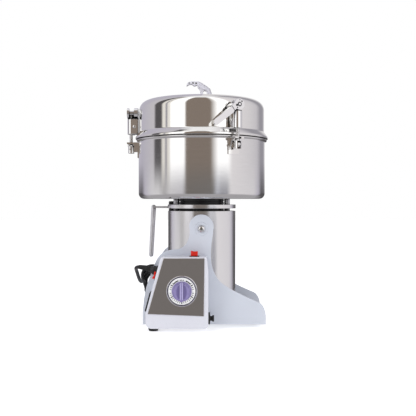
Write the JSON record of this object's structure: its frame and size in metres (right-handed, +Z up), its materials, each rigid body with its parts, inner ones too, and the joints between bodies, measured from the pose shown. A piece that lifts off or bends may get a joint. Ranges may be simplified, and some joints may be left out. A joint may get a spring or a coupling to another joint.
{
  "type": "hammer mill",
  "caption": "Tilting swing-hammer mill: round steel bowl with a latched lid over a motor housing between two side plates, timer control box on the front, mains cord in a hank.",
  "frame": {"origin": "on the floor, under the middle of the machine without its cord", "axes": "+Z up along the rotor axis, -Y towards the user, where the control box is, +X to the user's right, where the bowl tips"},
  "size_m": [0.2471, 0.2524, 0.421],
  "materials": {
    "painted": "satin",
    "polished_steel": "polished",
    "brushed_steel": "satin",
    "chrome": "mirror",
    "panel_chrome": "mirror",
    "black_rubber": "matte",
    "black_plastic": "satin",
    "red_plastic": "gloss",
    "white_plastic": "gloss",
    "lavender_plastic": "satin",
    "iron": "matte",
    "copper": "satin",
    "hardened_steel": "satin"
  },
  "bodies": {
    "stand": {"front_side_plate": "painted", "rear_side_plate": "painted", "base_plate": "painted", "tie_rods": "iron", "rubber_feet": "black_rubber", "pivot_bolts": "chrome", "control_housing": "painted", "control_panel": "panel_chrome", "dial_ring": "chrome", "timer_dial": "white_plastic", "timer_unit": "black_plastic", "rocker_frames": "black_plastic", "overload_breaker": "black_plastic", "cord_gland": "black_rubber", "side_cover": "black_plastic", "cord_tube": "black_rubber", "cord_hank": "black_rubber", "cord_tail": "black_rubber", "mains_plug": "black_plastic"},
    "motor_unit": {"motor_housing": "brushed_steel", "motor_end_cap": "black_plastic", "stator_core": "iron", "field_coils": "copper", "motor_bearings": "chrome", "brush_holders": "black_plastic", "top_bracket": "iron", "neck_collar": "black_plastic", "ring_plate": "brushed_steel", "support_posts": "chrome", "tilt_handle": "brushed_steel", "handle_bolt": "black_plastic", "bowl": "polished_steel", "shaft_seal": "black_rubber", "latch_brackets": "polished_steel", "bracket_pins": "chrome"},
    "rotor": {"rotor_shaft": "hardened_steel", "armature_core": "iron", "commutator": "copper", "cooling_fan": "black_plastic", "hammer_carrier": "hardened_steel", "shaft_nut": "chrome"},
    "lid": {"lid": "polished_steel", "lid_gasket": "black_rubber", "lid_handle": "chrome"},
    "timer_knob": {"timer_knob": "lavender_plastic"},
    "power_rocker": {"power_rocker": "red_plastic"},
    "pulse_rocker": {"pulse_rocker": "red_plastic"},
    "reset_button": {"reset_button": "black_plastic"},
    "hammer_1": {"hammer_1": "hardened_steel"},
    "hammer_2": {"hammer_2": "hardened_steel"},
    "hammer_3": {"hammer_3": "hardened_steel"},
    "latch_1": {"latch_rod_1": "chrome", "latch_jaw_1": "chrome"},
    "cam_lever_1": {"cam_lever_1": "chrome"},
    "latch_2": {"latch_rod_2": "chrome", "latch_jaw_2": "chrome"},
    "cam_lever_2": {"cam_lever_2": "chrome"},
    "latch_3": {"latch_rod_3": "chrome", "latch_jaw_3": "chrome"},
    "cam_lever_3": {"cam_lever_3": "chrome"}
  },
  "joints": [
    {"name": "motor_tilt", "type": "hinge", "parent": "stand", "child": "motor_unit", "pos_m": [0.008, 0.01, 0.165], "axis": [0, 1, 0], "range_deg": [0, 90]},
    {"name": "rotor_spin", "type": "hinge", "parent": "motor_unit", "child": "rotor", "pos_m": [0.008, 0.01, 0.2], "axis": [0, 0, 1], "continuous": true},
    {"name": "lid_lift", "type": "slide", "parent": "motor_unit", "child": "lid", "axis": [0, 0, 1], "range_m": [0, 0.075]},
    {"name": "hammer_1_swing", "type": "hinge", "parent": "rotor", "child": "hammer_1", "pos_m": [0.033, 0.01, 0.238], "axis": [0, 0, 1], "range_deg": [-60, 60]},
    {"name": "hammer_2_swing", "type": "hinge", "parent": "rotor", "child": "hammer_2", "pos_m": [-0.0045, 0.03165, 0.238], "axis": [0, 0, 1], "range_deg": [-60, 60]},
    {"name": "hammer_3_swing", "type": "hinge", "parent": "rotor", "child": "hammer_3", "pos_m": [-0.0045, -0.01165, 0.238], "axis": [0, 0, 1], "range_deg": [-60, 60]},
    {"name": "latch_1_swing", "type": "hinge", "parent": "motor_unit", "child": "latch_1", "pos_m": [0.06645, -0.09993, 0.302], "axis": [0.8829, 0.4695, 0], "range_deg": [0, 92]},
    {"name": "cam_lever_1_turn", "type": "hinge", "parent": "latch_1", "child": "cam_lever_1", "pos_m": [0.06645, -0.09993, 0.3654], "axis": [-0.4695, 0.8829, 0], "range_deg": [0, 125]},
    {"name": "latch_2_swing", "type": "hinge", "parent": "motor_unit", "child": "latch_2", "pos_m": [0.07397, 0.11558, 0.302], "axis": [-0.848, 0.5299, 0], "range_deg": [0, 92]},
    {"name": "cam_lever_2_turn", "type": "hinge", "parent": "latch_2", "child": "cam_lever_2", "pos_m": [0.07397, 0.11558, 0.3654], "axis": [-0.5299, -0.848, 0], "range_deg": [0, 125]},
    {"name": "latch_3_swing", "type": "hinge", "parent": "motor_unit", "child": "latch_3", "pos_m": [-0.11642, 0.01435, 0.302], "axis": [-0.0349, -0.9994, 0], "range_deg": [0, 92]},
    {"name": "cam_lever_3_turn", "type": "hinge", "parent": "latch_3", "child": "cam_lever_3", "pos_m": [-0.11642, 0.01435, 0.3654], "axis": [0.9994, -0.0349, 0], "range_deg": [0, 125]},
    {"name": "timer_turn", "type": "hinge", "parent": "stand", "child": "timer_knob", "pos_m": [-0.023, -0.1, 0.0666], "axis": [0, 1, 0], "range_deg": [0, 270]},
    {"name": "power_switch", "type": "hinge", "parent": "stand", "child": "power_rocker", "pos_m": [-0.0033, -0.078, 0.1195], "axis": [0, -1, 0], "range_deg": [0, 12]},
    {"name": "pulse_switch", "type": "hinge", "parent": "stand", "child": "pulse_rocker", "pos_m": [-0.06381, -0.087, 0.09011], "axis": [0, -1, 0], "range_deg": [0, 12]},
    {"name": "reset_press", "type": "slide", "parent": "stand", "child": "reset_button", "axis": [-1, 0, 0], "range_m": [0, 0.0025], "stiffness_N_per_m": 500}
  ],
  "couplings": [
    {"joint": "latch_1_swing", "follows": "lid_lift", "rad_per_m": 21.3},
    {"joint": "latch_2_swing", "follows": "lid_lift", "rad_per_m": 21.3},
    {"joint": "latch_3_swing", "follows": "lid_lift", "rad_per_m": 21.3}
  ]
}
